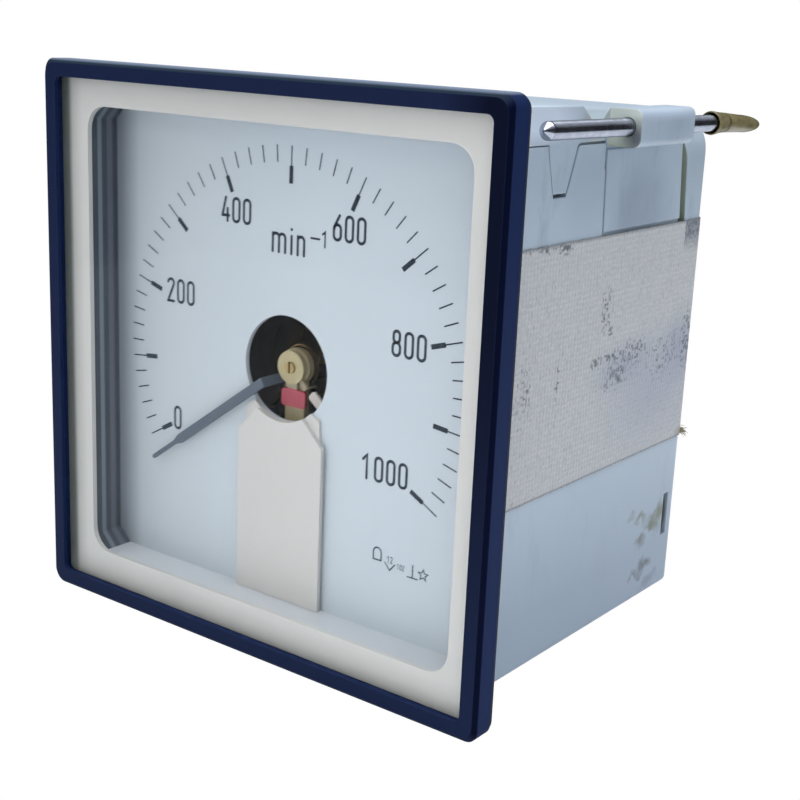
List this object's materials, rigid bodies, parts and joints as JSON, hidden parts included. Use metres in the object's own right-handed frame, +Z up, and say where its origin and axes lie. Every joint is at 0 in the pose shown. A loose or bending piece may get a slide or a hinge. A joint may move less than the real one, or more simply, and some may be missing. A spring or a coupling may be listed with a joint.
{
  "type": "panel speed indicator",
  "caption": "Square panel-mounted speed indicator with a wide-angle moving-coil pointer, moulded case, side screw clamps and a woven tape band.",
  "frame": {"origin": "centre of the panel cut-out, in the plane of the panel face that the front frame's gasket seats on", "axes": "+X right seen from the front, +Y into the panel along the case, +Z up"},
  "size_m": [0.0986, 0.083, 0.096],
  "materials": {
    "frame_plastic": "semi-gloss navy moulding",
    "clear_pane": "clear",
    "cream_plastic": "satin cream",
    "foam": "black foam",
    "light_plastic": "satin light grey",
    "dial_face": "matt bluish white",
    "case_plastic": "satin pale blue-grey moulding",
    "dark_steel": "dark phosphated steel",
    "magnet_grey": "sintered magnet",
    "bright_steel": "nickel plated",
    "zinc_steel": "zinc plated",
    "brass": "plain brass",
    "copper_wire": "enamelled copper wire",
    "slate_paint": "matt slate paint",
    "red_plastic": "dull red",
    "board": "laminated paper board",
    "component": "coated resistor",
    "trimmer_blue": "blue housing",
    "woven_tape": "woven grey-beige tape",
    "cap_plastic": "olive-brown soft plastic"
  },
  "bodies": {
    "case_assembly": {"bezel": "frame_plastic", "pane": "clear_pane", "mask": "cream_plastic", "gasket": "foam", "dial_frame": "light_plastic", "dial": "dial_face", "cover_strip": "cream_plastic", "case": "case_plastic", "movement_plate": "dark_steel", "plate_screws": "bright_steel", "yoke": "dark_steel", "yoke_screws": "bright_steel", "magnet": "magnet_grey", "core": "dark_steel", "front_bridge": "brass", "front_jewel": "brass", "lock_nut": "brass", "lead_tag": "cream_plastic", "rear_bridge": "brass", "rear_jewel": "brass", "bridge_screws": "bright_steel", "hairsprings": "brass", "terminal_board": "board", "resistor": "component", "trimmer": "trimmer_blue", "leads": "red_plastic", "terminal_studs": "brass", "terminal_washers": "bright_steel", "terminal_nuts": "brass", "tape": "woven_tape"},
    "moving_system": {"spindle": "bright_steel", "coil": "copper_wire", "pointer": "slate_paint", "balance_weights": "brass"},
    "zero_adjuster": {"zero_lever": "red_plastic"},
    "clamp_top_body": {"clamp_top": "case_plastic"},
    "clamp_bottom_body": {"clamp_bottom": "case_plastic"},
    "screw_top_body": {"screw_top": "zinc_steel"},
    "screw_bottom_body": {"screw_bottom": "zinc_steel"},
    "cap_top_body": {"cap_top": "cap_plastic"},
    "cap_bottom_body": {"cap_bottom": "cap_plastic"}
  },
  "joints": [
    {"name": "pointer_turn", "type": "hinge", "parent": "case_assembly", "child": "moving_system", "pos_m": [0, 0, 0], "axis": [0, 1, 0], "range_deg": [0, 251], "stiffness_Nm_per_rad": 0.00003, "springref_deg": -5.73},
    {"name": "zero_adjust", "type": "hinge", "parent": "case_assembly", "child": "zero_adjuster", "pos_m": [0, 0, 0], "axis": [0, 1, 0], "range_deg": [-5, 5]},
    {"name": "clamp_top_slide", "type": "slide", "parent": "case_assembly", "child": "clamp_top_body", "axis": [0, 1, 0], "range_m": [0, 0.0018]},
    {"name": "clamp_bottom_slide", "type": "slide", "parent": "case_assembly", "child": "clamp_bottom_body", "axis": [0, 1, 0], "range_m": [0, 0.0018]},
    {"name": "cap_top_feed", "type": "slide", "parent": "clamp_top_body", "child": "cap_top_body", "axis": [0, 1, -0.0087], "range_m": [-0.004, 0.002]},
    {"name": "cap_bottom_feed", "type": "slide", "parent": "clamp_bottom_body", "child": "cap_bottom_body", "axis": [0, 1, 0.0087], "range_m": [-0.004, 0.002]},
    {"name": "screw_top_turn", "type": "hinge", "parent": "cap_top_body", "child": "screw_top_body", "pos_m": [0.047, 0.0382, 0.04235], "axis": [0, 1, -0.0087], "range_deg": [-2882, 1442]},
    {"name": "screw_bottom_turn", "type": "hinge", "parent": "cap_bottom_body", "child": "screw_bottom_body", "pos_m": [-0.047, 0.0382, -0.04185], "axis": [0, 1, 0.0087], "range_deg": [-2882, 1442]}
  ],
  "couplings": [
    {"joint": "screw_top_turn", "follows": "cap_top_feed", "rad_per_m": 12566},
    {"joint": "screw_bottom_turn", "follows": "cap_bottom_feed", "rad_per_m": 12566}
  ]
}
